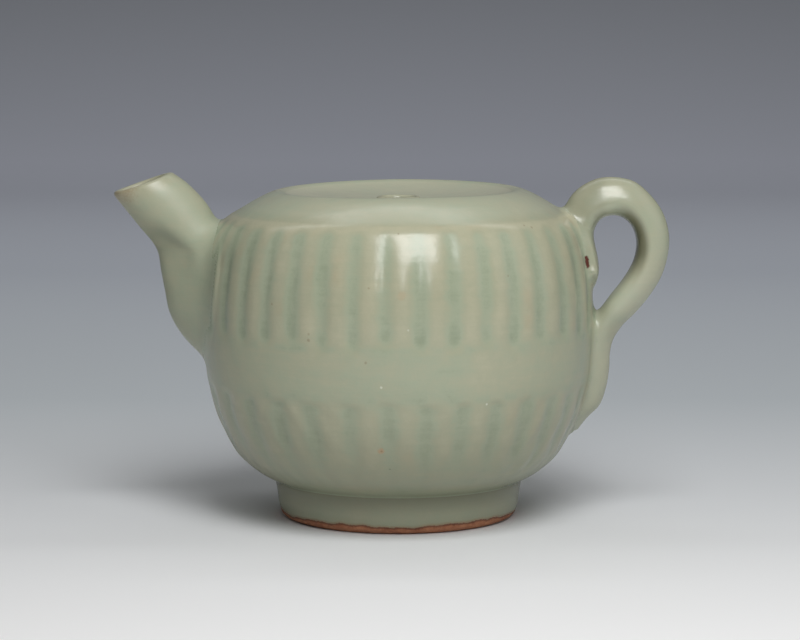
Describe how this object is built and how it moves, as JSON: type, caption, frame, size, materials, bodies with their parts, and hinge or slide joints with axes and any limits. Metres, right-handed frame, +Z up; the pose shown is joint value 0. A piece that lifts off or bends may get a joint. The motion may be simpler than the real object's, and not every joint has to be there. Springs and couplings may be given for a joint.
{
  "type": "celadon teapot",
  "caption": "Small lidless ribbed celadon ewer in teapot form, with a sunken top and filling hole, upturned spout, ear-shaped coil handle and unglazed foot ring.",
  "frame": {"origin": "on the plane that the foot ring stands on, midway between the tip of the spout and the back of the handle; the vessel's own upright axis lies 1.45 mm towards the handle", "axes": "+Z up, spout towards -X, handle towards +X"},
  "size_m": [0.1393, 0.0985, 0.087],
  "materials": {
    "foot": "celadon glaze above, bare orange-brown fired clay where it stands",
    "body_glaze": "soft semi-gloss celadon glaze, thin and creamy on the ribs, greener where it pools",
    "top_glaze": "soft semi-gloss celadon glaze",
    "thin_glaze": "thin glaze broken to warm brown at the edge",
    "spout_glaze": "soft semi-gloss celadon glaze, brown at the lip",
    "handle_glaze": "soft semi-gloss celadon glaze"
  },
  "bodies": {
    "root": {"foot_ring": "foot", "lower_body": "body_glaze", "upper_body": "body_glaze", "sunken_top": "top_glaze", "filler_collar": "thin_glaze", "spout": "spout_glaze", "handle": "handle_glaze"}
  },
  "joints": []
}
